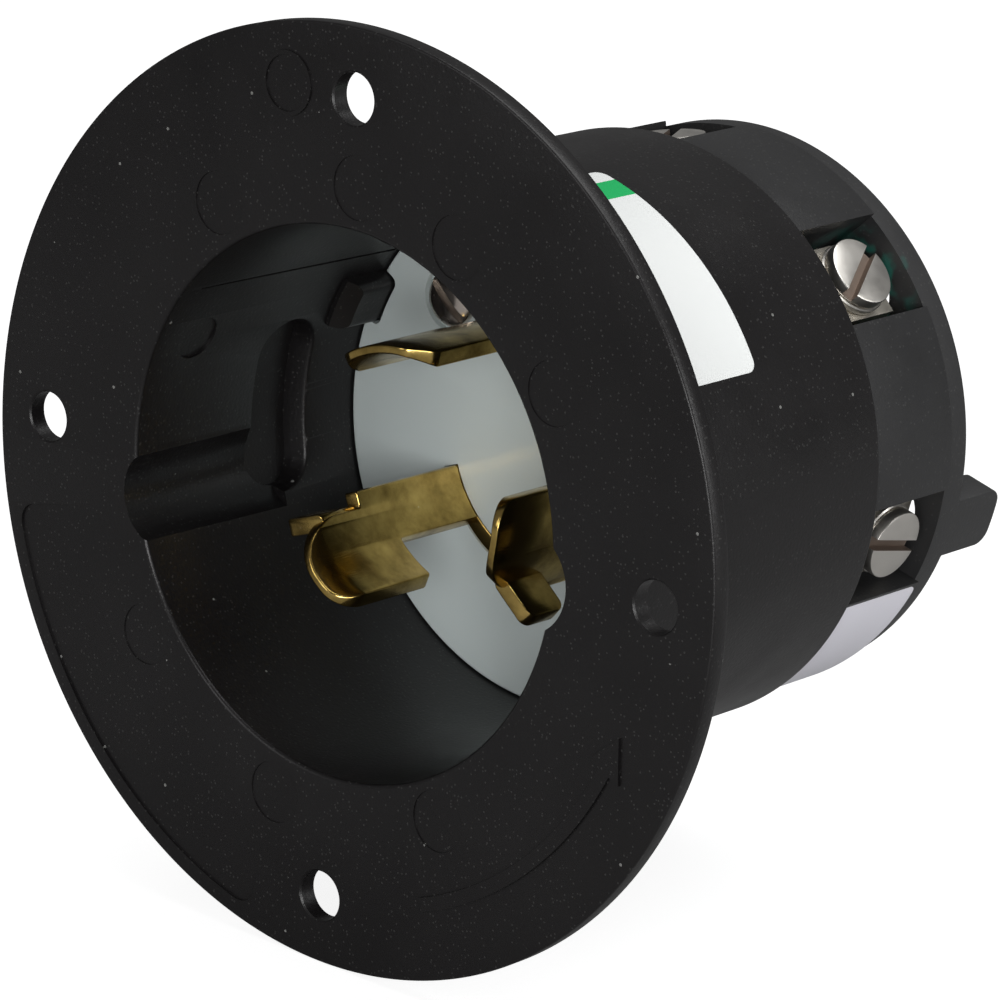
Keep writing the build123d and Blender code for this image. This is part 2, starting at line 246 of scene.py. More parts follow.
def slot_spread(height):
    """How much wider than its middle a slot is at a height over the bore's wall."""
    for (low, wide), (high, narrow) in zip(slot_walls, slot_walls[1:]):
        if height <= high:
            return wide + (narrow - wide) * max(height - low, 0) / (high - low)
    return slot_walls[-1][1]


def locking_slot(angle):
    """Cutter of a slot with round ends, drafted walls, and a lip that is rounded where it meets the bore."""
    bore_r = mouth_r - (mouth_r - seat_r) * slot_depth / face_depth
    width = math.radians(slot_before + slot_after) * bore_r
    mesh = flat_block(width, 2 * slot_half, bore_r + slot_walls[0][0], channel_r)
    bevel_edges(mesh, lambda e: span(e, "z") > 1, slot_half - 0.01, 14)
    for height, _ in slot_walls[1:-1]:
        cut_at(mesh, (0, 0, bore_r + height), (0, 0, 1))
    straight = width / 2 - slot_half
    for vert in mesh.verts:
        grown = 1 + slot_spread(vert.co.z - bore_r) / slot_half
        past = abs(vert.co.x) - straight
        vert.co.y *= grown
        if past > 0:
            vert.co.x = math.copysign(straight + past * grown, vert.co.x)
    slice_across(mesh, -width / 2, width / 2, 28)
    middle = angle + (slot_after - slot_before) / 2
    return roll(mesh, middle, slot_depth, bore_r)


for channel in channels:
    groove = pin(groove_core_r, -1, slot_depth, polar(channel_r - groove_core_r, channel), sides=96)
    housing = carve(housing, groove)
    housing = carve(housing, locking_slot(channel))

key_angle = 155.2
key_width = 6.3
key_height = 2.05
key_front = 27.0
key_ramp = 1.6
key_round = 1.05
key_low = seat_r - key_height
key = flat_block(key_width, ledge_front - key_front, key_low, seat_r + 1.5)
bevel_edges(key, lambda e: all(v.co.z < seat_r for v in e.verts) and span(e, "y") > 1, key_round, 7)
key_end = min(v.co.y for v in key.verts)
cut_at(key, (0, key_end, key_low + key_ramp), (0, -1, -1), clear_outer=True)
bmesh.ops.holes_fill(key, edges=[e for e in key.edges if e.is_boundary])
slice_across(key, -key_width / 2, key_width / 2, 6)
housing = carve(housing, roll(key, key_angle, (key_front + ledge_front) / 2, seat_r), "UNION")

# room for the ground strip's finger and for the leg that joins it
strip_room_r = (30.6, 31.6)
strip_room_width = 6.2
strip_room_t = 1.0
strip_room_back = ledge_back + 0.9
strip_angle = channels[1] - slot_before / 2
strip_finger = rolled_strip(strip_room_width, strip_room_back - slot_depth, *strip_room_r, strip_angle,
                            (strip_room_back + slot_depth) / 2, channel_r)
housing = carve(housing, strip_finger)
strip_leg = rolled_strip(strip_room_width, strip_room_t, seat_r - 1, strip_room_r[1], strip_angle,
                         strip_room_back - strip_room_t / 2, channel_r)
housing = carve(housing, strip_leg)

hole_circle_r = 43.1
hole_r = 2.75
hole_lip = 0.18
hole_outline = [
    (0, -1), (hole_r + 1 + hole_lip, -1), (hole_r, hole_lip),
    (hole_r, flange_t - hole_lip), (hole_r + 1 + hole_lip, flange_t + 1), (0, flange_t + 1),
]
for angle in (0, 90, 180, 270):
    hole = turn_outline(hole_outline, closed=False, steps=64)
    bmesh.ops.translate(hole, verts=hole.verts, vec=polar(hole_circle_r, angle))
    housing = carve(housing, hole)

# marks of the ejector pins, the bare sunk panel, the raised arrow and the small raised ring on the flange
ejector_r = 34.1
ejector_angles = (33, 64, 88, 122.5, 217.6, 258, 298.2)
mark_r = (3.5, 3.38)
mark_deep = 0.13
marks = [pin(mark_r[0], -1, mark_deep, polar(ejector_r, angle), mark_r[1], 48) for angle in ejector_angles]
housing = carve(housing, join(*marks))


def face_band(inner_r, outer_r, start, end, front, back, corner, steps):
    """Band on the flange's face between two radii and two angles, with rounded corners."""
    middle_r = (inner_r + outer_r) / 2
    length = math.radians(end - start) * middle_r
    mesh = flat_block(length, back - front, inner_r, outer_r)
    if corner:
        bevel_edges(mesh, lambda e: span(e, "y") > 1e-4, corner, 6)
    slice_across(mesh, -length / 2, length / 2, steps)
    return roll(mesh, (start + end) / 2, (front + back) / 2, middle_r)


panel_r = (39.3, 48.6)
panel_angles = (193, 258)
panel_deep = 0.25
panel_corner = 2.2
housing = carve(housing, face_band(*panel_r, *panel_angles, -1, panel_deep, panel_corner, 48))

arrow_r = 42.3
arrow_half = 0.75
arrow_raise = 0.3
arrow_sink = 0.4
arrow_start = -70
arrow_end = -26
arrow_head = 4.4
shaft = face_band(arrow_r - arrow_half, arrow_r + arrow_half, arrow_start, arrow_end + 1, -arrow_raise,
                  arrow_sink, 0, 30)
head = bmesh.new()
tip_angle = arrow_end + math.degrees(arrow_head / arrow_r)
corners = [
    polar(arrow_r - arrow_head / 2, arrow_end),
    polar(arrow_r, tip_angle),
    polar(arrow_r + arrow_head / 2, arrow_end),
]
head.faces.new([head.verts.new(corner + Vector((0, arrow_sink - flange_t, 0))) for corner in corners])
push_out(head, (0, -arrow_raise - arrow_sink, 0))
housing = carve(housing, carve(shaft, head, "UNION"), "UNION")

ring_place = polar(44.1, 102)
ring_r = (2.95, 3.4)
ring_raise = 0.18
ring_sink = 0.4
raised_ring = carve(pin(ring_r[1], -ring_raise, ring_sink, ring_place), pin(ring_r[0], -1, 1, ring_place))
housing = carve(housing, raised_ring, "UNION")

# the round mark and the parting line on the bore's wall
wall_mark_angle = 157.5
wall_mark_depth = 6.5
wall_mark_r = (2.9, 2.65)
wall_mark_middle_r = mouth_r - 1.3
wall_mark = bmesh.new()
bmesh.ops.create_cone(wall_mark, cap_ends=True, segments=48, radius1=wall_mark_r[0], radius2=wall_mark_r[1],
                      depth=3.0)
bmesh.ops.translate(wall_mark, verts=wall_mark.verts, vec=(0, 0, wall_mark_middle_r))
housing = carve(housing, roll(wall_mark, wall_mark_angle, wall_mark_depth, mouth_r))
seam_angle = 142.2
seam_width = 0.3
seam_length = 30
seam_depth = 18
seam_deep = 0.02
seam = flat_block(seam_width, seam_length, mouth_r - 1.5, mouth_r + seam_deep)
housing = carve(housing, roll(seam, seam_angle, seam_depth, mouth_r))


def node_of(tree, kind, **values):
    """Adds a shader node and sets its plain properties."""
    made = tree.nodes.new(kind)
    for name, value in values.items():
        setattr(made, name, value)
    return made


def moulded_surface():
    """Node group of what every moulded face has: slow mottling, dust specks with finer specks that paint
    glints of light, and a fine grain.
    """
    group = bpy.data.node_groups.new("moulded_surface", "ShaderNodeTree")
    side = group.interface
    side.new_socket("Vector", in_out="INPUT", socket_type="NodeSocketVector")
    defaults = {"Mottle Scale": 60.0, "Speck Scale": 420.0, "Speck Amount": 0.05, "Fine Amount": 0.0,
                "Grain Scale": 2600.0}
    for name, value in defaults.items():
        side.new_socket(name, in_out="INPUT", socket_type="NodeSocketFloat").default_value = value
    for name in ("Mottle", "Speck", "Grain"):
        side.new_socket(name, in_out="OUTPUT", socket_type="NodeSocketFloat")
    link = group.links.new
    given = node_of(group, "NodeGroupInput")
    result = node_of(group, "NodeGroupOutput")
    mottle = node_of(group, "ShaderNodeTexNoise")
    mottle.inputs["Detail"].default_value = 5
    mottle.inputs["Roughness"].default_value = 0.6
    grain = node_of(group, "ShaderNodeTexNoise")
    grain.inputs["Detail"].default_value = 3
    for texture, scale in ((mottle, "Mottle Scale"), (grain, "Grain Scale")):
        link(given.outputs["Vector"], texture.inputs["Vector"])
        link(given.outputs[scale], texture.inputs["Scale"])
    specks = node_of(group, "ShaderNodeMath", operation="MAXIMUM")
    # the first layer of specks is dust; the second, finer layer paints glints of light into the colour
    layers = ((1.0, 0.075, 0.8, "Speck Amount"), (4.6, 0.22, 0.1, "Fine Amount"))
    for slot, (finer, size, strength, amount) in enumerate(layers):
        scaled = node_of(group, "ShaderNodeMath", operation="MULTIPLY")
        scaled.inputs[1].default_value = finer
        cells = node_of(group, "ShaderNodeTexVoronoi")
        spread = node_of(group, "ShaderNodeSeparateColor")
        near = node_of(group, "ShaderNodeMath", operation="LESS_THAN")
        near.inputs[1].default_value = size
        picked = node_of(group, "ShaderNodeMath", operation="LESS_THAN")
        both = node_of(group, "ShaderNodeMath", operation="MULTIPLY")
        faded = node_of(group, "ShaderNodeMath", operation="MULTIPLY")
        faded.inputs[1].default_value = strength
        link(given.outputs["Vector"], cells.inputs["Vector"])
        link(given.outputs["Speck Scale"], scaled.inputs[0])
        link(scaled.outputs[0], cells.inputs["Scale"])
        link(cells.outputs["Distance"], near.inputs[0])
        link(cells.outputs["Color"], spread.inputs["Color"])
        link(spread.outputs["Red"], picked.inputs[0])
        link(given.outputs[amount], picked.inputs[1])
        link(near.outputs[0], both.inputs[0])
        link(picked.outputs[0], both.inputs[1])
        link(both.outputs[0], faded.inputs[0])
        link(faded.outputs[0], specks.inputs[slot])
    link(mottle.outputs["Fac"], result.inputs["Mottle"])
    link(specks.outputs[0], result.inputs["Speck"])
    link(grain.outputs["Fac"], result.inputs["Grain"])
    return group


surface = moulded_surface()


def start_material(name, metallic=0.0):
    """New material, its node tree and its shader."""
    material = bpy.data.materials.new(name)
    material.use_nodes = True
    shader = material.node_tree.nodes["Principled BSDF"]
    shader.inputs["Metallic"].default_value = metallic
    return material, material.node_tree, shader


def ranged(tree, start, end, low, high):
    """Node that spreads the values from start to end over low to high."""
    spread = node_of(tree, "ShaderNodeMapRange")
    for name, value in (("From Min", start), ("From Max", end), ("To Min", low), ("To Max", high)):
        spread.inputs[name].default_value = value
    return spread


def mixed(tree, first=None, second=None):
    """Node that mixes two colours."""
    mix = node_of(tree, "ShaderNodeMix", data_type="RGBA")
    for name, colour in (("A", first), ("B", second)):
        if colour:
            mix.inputs[name].default_value = (*colour, 1)
    return mix


def worn(tree, shader, spread, **amounts):
    """Adds the wear of a surface, and lets its mottling vary the sheen."""
    place = node_of(tree, "ShaderNodeTexCoord")
    wear = node_of(tree, "ShaderNodeGroup", node_tree=surface)
    for name, value in amounts.items():
        wear.inputs[name.replace("_", " ").title()].default_value = value
    tree.links.new(place.outputs["Object"], wear.inputs["Vector"])
    tree.links.new(wear.outputs["Mottle"], spread.inputs["Value"])
    tree.links.new(spread.outputs["Result"], shader.inputs["Roughness"])
    return wear


def relief(tree, shader, height, strength, distance):
    """Lets a height show as bumps."""
    bumps = node_of(tree, "ShaderNodeBump")
    bumps.inputs["Strength"].default_value = strength
    bumps.inputs["Distance"].default_value = distance
    tree.links.new(height, bumps.inputs["Height"])
    tree.links.new(bumps.outputs["Normal"], shader.inputs["Normal"])


# grey of the dust specks, and of the finer specks that are painted glints
dust_and_glint_grey = (0.22, 0.22, 0.21)


def moulding(name, dark, light, rough, specks, bump, speck_colour=dust_and_glint_grey, gloss=0.5, painted_glints=0.0):
    """Material of a moulded piece: two close tones, dust specks with finer specks that paint glints, and a
    grain that breaks up its sheen.
    """
    material, tree, shader = start_material(name)
    link = tree.links.new
    shader.inputs["Specular IOR Level"].default_value = gloss
    wear = worn(tree, shader, ranged(tree, 0.3, 0.7, *rough), speck_amount=specks, fine_amount=painted_glints)
    tones = mixed(tree, dark, light)
    dust_and_glints = mixed(tree, second=speck_colour)
    link(wear.outputs["Mottle"], tones.inputs["Factor"])
    link(tones.outputs["Result"], dust_and_glints.inputs["A"])
    link(wear.outputs["Speck"], dust_and_glints.inputs["Factor"])
    link(dust_and_glints.outputs["Result"], shader.inputs["Base Color"])
    relief(tree, shader, wear.outputs["Grain"], bump, 0.00003)
    return material


# the finer specks set by the last argument are painted glints, not dirt
housing_black = moulding("housing_black", (0.0048, 0.0042, 0.0045), (0.0092, 0.0083, 0.0086),
                         (0.30, 0.42), 0.12, 0.8, gloss=0.35, painted_glints=0.5)
finish_piece(housing, "flange_and_barrel", housing_black, "housing_black", "flange_housing")

# Contact carrier
# A thick disc of glossy white nylon that slides in from the mouth and sits on the barrel's ledge. It has a
# slot for each blade, two sunk places for the long screws, and a notch round the key rib.

carrier_gap = 0.12
carrier_r = seat_r - carrier_gap
carrier_back_r = ledge_r - carrier_gap
carrier_edge = 0.35
carrier = turn_outline([
    (0, face_depth), (carrier_r, face_depth), (carrier_r, ledge_front),
    (carrier_back_r, ledge_front), (carrier_back_r, ledge_back), (0, ledge_back),
], closed=False)
round_rims(carrier, [(carrier_r, face_depth)], carrier_edge, 4)
blade_inner_r = 13.6
blade_t = 1.9
blade_sweep = 49.5
blade_angles = {"line_1_blade": 80, "neutral_blade": 200, "line_2_blade": 320}
blade_mean_r = blade_inner_r + blade_t / 2
slot_gap = 0.1
way_length = 16
for angle in blade_angles.values():
    width = math.radians(blade_sweep) * blade_mean_r + 2 * slot_gap
    way = rolled_strip(width, way_length, blade_inner_r - slot_gap, blade_inner_r + blade_t + slot_gap,
                       angle + blade_sweep / 2, (face_depth + ledge_back) / 2, blade_mean_r, 20)
    carrier = carve(carrier, way)
long_screw_angles = {"upper_assembly_screw": 137.5, "lower_assembly_screw": 317.5}
long_screw_r = 20.4
sink_depth = 0.8
sink_r = 3.7
for angle in long_screw_angles.values():
    sink = pin(sink_r, face_depth - 1, face_depth + sink_depth, polar(long_screw_r, angle))
    carrier = carve(carrier, sink)
notch_gap = 0.2
notch_width = key_width + 2 * notch_gap
notch_length = 12
notch_round = 0.9
notch = flat_block(notch_width, notch_length, seat_r - key_height - notch_gap, seat_r + 1)
bevel_edges(notch, lambda e: all(v.co.z < seat_r for v in e.verts) and span(e, "y") > 1, notch_round, 5)
slice_across(notch, -notch_width / 2, notch_width / 2, 6)
carrier = carve(carrier, roll(notch, key_angle, face_depth + 4, seat_r))
nylon_white = moulding("nylon_white", (0.595, 0.66, 0.655), (0.605, 0.668, 0.66), (0.25, 0.27), 0.01, 0.05,
                       (0.4, 0.38, 0.33))
nylon_shader = nylon_white.node_tree.nodes["Principled BSDF"]
nylon_shader.inputs["Subsurface Weight"].default_value = 0.15
nylon_shader.inputs["Subsurface Radius"].default_value = (0.004, 0.004, 0.004)
nylon_shader.inputs["Subsurface Scale"].default_value = 0.5
finish_piece(carrier, "carrier_disc", nylon_white, "nylon_white", "contact_carrier")

# Blades
# Three brass blades, stamped from thick strip and rolled to one circle. Each has a wide root in the carrier,
# a narrow stem, a head that hooks round to lock, and a lead-in filed on the inside of its tip. Two have a lug
# that is bent outwards.

blade_tips = {"line_1_blade": 9.2, "neutral_blade": 7.4, "line_2_blade": 7.8}
plain_blade = "line_1_blade"
stem_sweep = 26.0
side_cut = 7.5
side_cut_depth = 17.0
hook_depth = 20.9
blade_edge = 0.22
lug_offset = 2.35
lug_end_r = 19.8
lug_front = 11.5
lug_length = 5.4
lug_end_round = 1.1
lug_root_round = 0.8
lug_edge = 0.2
lead_in = 1.0
lead_in_length = 3.0


def stand_at(mesh, angle):
    """Turns an upright mesh about the axis until its z points outwards at an angle."""
    bmesh.ops.rotate(mesh, verts=mesh.verts, matrix=Matrix.Rotation(-math.radians(angle - 90), 3, "Y"))


def blade_mesh(node, angle):
    """Blade drawn flat, with its corners and edges rounded, then rolled to its circle."""
    half = math.radians(blade_sweep) * blade_mean_r / 2
    tip = blade_tips[node]

    def across(turn):
        return math.radians(turn) * blade_mean_r - half

    # each corner has its turn, its depth and the size of its rounding
    if node == plain_blade:
        near_side = [(0, ledge_back, 0), (0, tip + 2.5, 0.6), (9.9, tip, 0.6)]
    else:
        near_side = [(0, ledge_back, 0), (0, side_cut_depth, 0.25), (side_cut, side_cut_depth, 0.3),
                     (side_cut, tip, 6.0)]
    corners = near_side + [
        (blade_sweep, tip, 3.2), (blade_sweep, hook_depth, 0.5), (stem_sweep, hook_depth, 0.4),
        (stem_sweep, face_depth, 0), (blade_sweep, face_depth, 0.4), (blade_sweep, ledge_back, 0),
    ]
    mesh = bmesh.new()
    points = [mesh.verts.new((across(turn), depth, blade_inner_r)) for turn, depth, _ in corners]
    mesh.faces.new(points)
    for point, (_, _, radius) in zip(points, corners):
        if radius:
            bmesh.ops.bevel(mesh, geom=[point], offset=radius, offset_type="OFFSET", affect="VERTICES",
                            segments=12 if radius > 1 else 3, profile=0.5, material=-1, clamp_overlap=True)
    push_out(mesh, (0, 0, blade_t))
    bmesh.ops.recalc_face_normals(mesh, faces=mesh.faces)
    bevel_edges(mesh, lambda e: span(e, "z") < 1e-4, blade_edge, 3)
    cut_at(mesh, (0, tip + lead_in_length, 0), (0, 1, 0))
    slice_across(mesh, -half, half, 26)
    for vert in mesh.verts:
        short = tip + lead_in_length - vert.co.y
        if short > 0 and vert.co.z < blade_inner_r + 0.25:
            vert.co.z += lead_in * short / lead_in_length
    roll(mesh, angle + blade_sweep / 2, 0, blade_mean_r)
    if node == plain_blade:
        return mesh

    lug = flat_block(blade_t, lug_length, blade_inner_r + 0.35, lug_end_r)
    lug_end = max(v.co.z for v in lug.verts) - 0.01
    lug_root = min(v.co.z for v in lug.verts) + 0.01
    bevel_edges(lug, lambda e: all(v.co.z > lug_end for v in e.verts) and span(e, "x") > 1,
                lug_end_round, 5)
    bevel_edges(lug, lambda e: all(v.co.z < lug_root for v in e.verts) and span(e, "y") > 1,
                lug_root_round, 5)
    bevel_edges(lug, lambda e: e.calc_face_angle(0) > 0.6, lug_edge, 2)
    middle = lug_front + tip - blade_tips["neutral_blade"] + lug_length / 2
    bmesh.ops.translate(lug, verts=lug.verts, vec=(-lug_offset, middle - flange_t, 0))
    stand_at(lug, angle)
    return carve(mesh, lug, "UNION")


def blade_brass():
    """Brass with a dull rolled face: brown stains, rubbed brighter patches and fine drawn lines."""
    material, tree, shader = start_material("blade_brass", 1.0)
    link = tree.links.new
    wear = worn(tree, shader, ranged(tree, 0.3, 0.7, 0.27, 0.13), mottle_scale=240, speck_scale=700,
                speck_amount=0.12)
    place = node_of(tree, "ShaderNodeTexCoord")
    stretched = node_of(tree, "ShaderNodeMapping")
    stretched.inputs["Scale"].default_value = (1, 0.12, 1)
    lines = node_of(tree, "ShaderNodeTexNoise")
    lines.inputs["Scale"].default_value = 5200
    lines.inputs["Detail"].default_value = 2
    tones = node_of(tree, "ShaderNodeValToRGB")
    tones.color_ramp.elements[0].position = 0.3
    tones.color_ramp.elements[0].color = (0.24, 0.155, 0.04, 1)
    tones.color_ramp.elements[1].position = 0.68
    tones.color_ramp.elements[1].color = (0.72, 0.51, 0.16, 1)
    stained = mixed(tree, second=(0.85, 0.70, 0.38))
    link(place.outputs["Object"], stretched.inputs["Vector"])
    link(stretched.outputs["Vector"], lines.inputs["Vector"])
    link(wear.outputs["Mottle"], tones.inputs["Fac"])
    link(tones.outputs["Color"], stained.inputs["A"])
    link(wear.outputs["Speck"], stained.inputs["Factor"])
    link(stained.outputs["Result"], shader.inputs["Base Color"])
    relief(tree, shader, lines.outputs["Fac"], 0.25, 0.00003)
    return material


rolled_brass = blade_brass()
for node, angle in blade_angles.items():
    finish_piece(blade_mesh(node, angle), f"{node}_piece", rolled_brass, "blade_brass", node)

# Terminal body
# The black moulding behind the barrel. A window over each terminal is open to the side and, until the cap is
# on, to the rear, so that a wire goes in from behind and its screw is reached from the side.

body_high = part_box("terminal_body")[1]
body_r = body_high.x / MM
body_depth = body_high.y / MM + flange_t
terminal_angles = {"line_1": 98.4, "ground": 42.4, "line_2": -15.0, "neutral": 222.4}
window_width = 11.8
window_front = barrel_depth + 0.5
window_reach = 20
strap_seat_r = 19.5
spigot_r = seat_r - 0.15
body_edge = 0.16
body = turn_outline([
    (0, ledge_back), (spigot_r, ledge_back), (spigot_r, barrel_depth), (body_r, barrel_depth),
    (body_r, body_depth), (0, body_depth),
], closed=False)
round_rims(body, [(body_r, body_depth)], body_edge, 2)
for angle in terminal_angles.values():
    window = block((window_width, body_depth + 1 - window_front, window_reach),
                   (0, (body_depth + 1 + window_front) / 2 - flange_t, strap_seat_r + window_reach / 2))
    stand_at(window, angle)
    body = carve(body, window)
# the finer specks set by the last argument are painted glints, not dirt
body_black = moulding("body_black", (0.0105, 0.0105, 0.011), (0.021, 0.021, 0.022), (0.34, 0.48), 0.12, 0.6,
                      painted_glints=0.4)


def dye(material, place, spread, colour):
    """Stains a moulding with streaks of dye round one place."""
    tree = material.node_tree
    link = tree.links.new
    shader = tree.nodes["Principled BSDF"]
    plain = shader.inputs["Base Color"].links[0].from_socket
    spot = node_of(tree, "ShaderNodeTexCoord")
    away = node_of(tree, "ShaderNodeVectorMath", operation="DISTANCE")
    away.inputs[1].default_value = place
    fade = ranged(tree, 0, spread, 1, 0)
    streaks = node_of(tree, "ShaderNodeTexNoise")
    streaks.inputs["Scale"].default_value = 330
    patchy = ranged(tree, 0.46, 0.56, 0, 1)
    mask = node_of(tree, "ShaderNodeMath", operation="MULTIPLY")
    dyed = mixed(tree, second=colour)
    link(spot.outputs["Object"], away.inputs[0])
    link(spot.outputs["Object"], streaks.inputs["Vector"])
    link(away.outputs["Value"], fade.inputs["Value"])
    link(streaks.outputs["Fac"], patchy.inputs["Value"])
    link(fade.outputs["Result"], mask.inputs[0])
    link(patchy.outputs["Result"], mask.inputs[1])
    link(mask.outputs[0], dyed.inputs["Factor"])
    link(plain, dyed.inputs["A"])
    link(dyed.outputs["Result"], shader.inputs["Base Color"])


dye_place = (polar(26.0, terminal_angles["ground"]) + Vector((0, 60.5 - flange_t, 0))) * MM
dye_spread = 0.0075
dye_teal = (0.0, 0.24, 0.18)
dye(body_black, dye_place, dye_spread, dye_teal)
finish_piece(body, "terminal_block", body_black, "body_black", "terminal_body")

# Rear cap
# A black end plate that closes the terminal body, a little smaller than it. It has a hole for each wire,
# two six-sided pockets that keep the nuts from turning, and two tabs for whatever covers the back.

cap_r = 31.7
cap_back = 67.0
cap_round = 0.8
cap = turn_outline([(0, body_depth), (cap_r, body_depth), (cap_r, cap_back), (0, cap_back)], closed=False)
round_rims(cap, [(cap_r, cap_back)], cap_round, 5)
tab_angles = (-15.0, 165.0)
tab_width = 7.0
tab_t = 4.0
tab_length = 7.2
tab_sink = 2
tab_round = 1.6
tab_edge = 0.25
cap_end = cap_back - flange_t
for angle in tab_angles:
    tab = block((tab_width, tab_length + tab_sink, tab_t),
                (0, cap_end - tab_sink + (tab_length + tab_sink) / 2, cap_r - tab_t / 2))
    end = max(v.co.y for v in tab.verts)
    bevel_edges(tab, lambda e: all(v.co.y > end - 0.01 for v in e.verts) and span(e, "z") > 1, tab_round, 6)
    top = max(v.co.z for v in tab.verts)
    slice_across(tab, -tab_width / 2, tab_width / 2, 12)
    for vert in tab.verts:
        if vert.co.z > top - 0.01:
            vert.co.z = math.sqrt(cap_r ** 2 - vert.co.x ** 2) - 0.02
        else:
            vert.co.z = math.sqrt((cap_r - tab_t) ** 2 - vert.co.x ** 2)
    bevel_edges(tab, lambda e: e.calc_face_angle(0) > 0.9 and max(v.co.y for v in e.verts) > cap_end,
                tab_edge, 2)
    stand_at(tab, angle)
    cap = carve(cap, tab, "UNION")
wire_r = 24.7
wire_hole_r = 4.0
for angle in terminal_angles.values():
    cap = carve(cap, pin(wire_hole_r, body_depth - 1, cap_back + tab_length + 1, polar(wire_r, angle)))
nut_floor = 0.9
nut_room_r = 4.27
pocket_length = 6
for angle in long_screw_angles.values():
    pocket = bmesh.new()
    bmesh.ops.create_cone(pocket, cap_ends=True, segments=6, radius1=nut_room_r, radius2=nut_room_r,
                          depth=pocket_length)
    bmesh.ops.rotate(pocket, verts=pocket.verts, matrix=Matrix.Rotation(math.pi / 2, 3, "X"))
    bmesh.ops.rotate(pocket, verts=pocket.verts, matrix=Matrix.Rotation(-math.radians(angle), 3, "Y"))
    pocket_middle = Vector((0, body_depth + nut_floor + pocket_length / 2 - flange_t, 0))
    bmesh.ops.translate(pocket, verts=pocket.verts, vec=polar(long_screw_r, angle) + pocket_middle)
    cap = carve(cap, pocket)
# the finer specks set by the last argument are painted glints, not dirt
cap_black = moulding("cap_black", (0.014, 0.014, 0.0145), (0.028, 0.028, 0.029), (0.36, 0.48), 0.12, 0.6,
                     painted_glints=0.4)
dye(cap_black, dye_place, dye_spread, dye_teal)
finish_piece(cap, "end_cap", cap_black, "cap_black", "rear_cap")

# Terminal screws
# Nickel-plated slotted screws, one in each window. A flat head stands on a round collar, with a fine neck
# between. The walls and floor of the slot get a dark metal, which is painted shade in the slot.

screw_depth = 56.7
head_top_r = 31.4
head_r = 4.0
head_edge = 0.22
neck_r = 3.7
collar_r = 4.2
collar_edge = 0.15
head_t = 1.3
head_slot_width = 1.3
head_slot_deep = 1.2
neck_t = 0.2
collar_t = 1.0
shank_r = 2.4
shank_end_r = 19.7
screw_turns = {"line_1": 30.0, "ground": 33.0, "line_2": -12.6, "neutral": 75.0}


def terminal_screw(angle, turn):
    """Screw turned from its outline, slotted, and stood over its terminal."""
    under = head_top_r - head_t
    collar_top = under - neck_t
    collar_low = collar_top - collar_t
    outline = [
        (0, shank_end_r), (shank_r, shank_end_r), (shank_r, collar_low), (collar_r - collar_edge, collar_low),
        (collar_r, collar_low + collar_edge), (collar_r, collar_top - collar_edge),
        (collar_r - collar_edge, collar_top), (neck_r, collar_top), (neck_r, under),
        (head_r - 0.1, under), (head_r, under + 0.1),
        (head_r, head_top_r - head_edge), (head_r - head_edge * 0.3, head_top_r - head_edge * 0.3),
        (head_r - head_edge, head_top_r), (0, head_top_r),
    ]
    mesh = bmesh.new()
    points = [mesh.verts.new((radius, 0, height)) for radius, height in outline]
    for start, end in zip(points, points[1:]):
        mesh.edges.new((start, end))
    bmesh.ops.spin(mesh, geom=mesh.verts[:] + mesh.edges[:], axis=(0, 0, 1), cent=(0, 0, 0),
                   angle=math.tau, steps=96, use_merge=True)
    bmesh.ops.remove_doubles(mesh, verts=mesh.verts, dist=1e-4)
    slot = block((head_slot_width, 20, 2 * head_slot_deep), (0, 0, head_top_r))
    turned = Matrix.Rotation(math.radians(turn), 3, "Z")
    bmesh.ops.rotate(slot, verts=slot.verts, matrix=turned)
    mesh = carve(mesh, slot)
    across = turned @ Vector((1, 0, 0))
    slot_floor = head_top_r - head_slot_deep
    # faces inside the slot get the second, dark material: painted shade in the slot
    for face in mesh.faces:
        middle = face.calc_center_median()
        inside = abs(middle.dot(across)) < head_slot_width / 2 + 0.01
        if inside and slot_floor - 0.05 < middle.z < head_top_r - 0.02:
            face.material_index = 1
    for vert in mesh.verts:
        vert.co.y += screw_depth - flange_t
    stand_at(mesh, angle)
    return mesh


def plain_metal(name, colour, rough):
    """Plain metal, such as nickel plate, with faint stains and fine turning marks."""
    material, tree, shader = start_material(name, 1.0)
    wear = worn(tree, shader, ranged(tree, 0.3, 0.7, *rough), mottle_scale=420, grain_scale=6000)
    tones = mixed(tree, [c * 0.86 for c in colour], colour)
    tree.links.new(wear.outputs["Mottle"], tones.inputs["Factor"])
    tree.links.new(tones.outputs["Result"], shader.inputs["Base Color"])
    relief(tree, shader, wear.outputs["Grain"], 0.05, 0.00002)
    return material


nickel_plate = plain_metal("nickel_plate", (0.80, 0.77, 0.72), (0.3, 0.4))
# dark metal for the faces inside the screws' slots, which paints the shade there
slot_shade = plain_metal("slot_shade", (0.30, 0.24, 0.20), (0.5, 0.6))
for name, angle in terminal_angles.items():
    screw = terminal_screw(angle, screw_turns[name])
    piece = finish_piece(screw, f"{name}_slotted_screw", nickel_plate, "screw_nickel", f"{name}_screw")
    piece.data.materials.append(slot_shade)

# Assembly screws
# Two long slotted pan-head screws that go through the carrier and the terminal body into nuts in the cap.

pan_head_r = 3.1
pan_head_t = 1.6
pan_slot = (12, 1.6, 0.95)
long_shank_r = 2.0
long_screw_end = 66.5


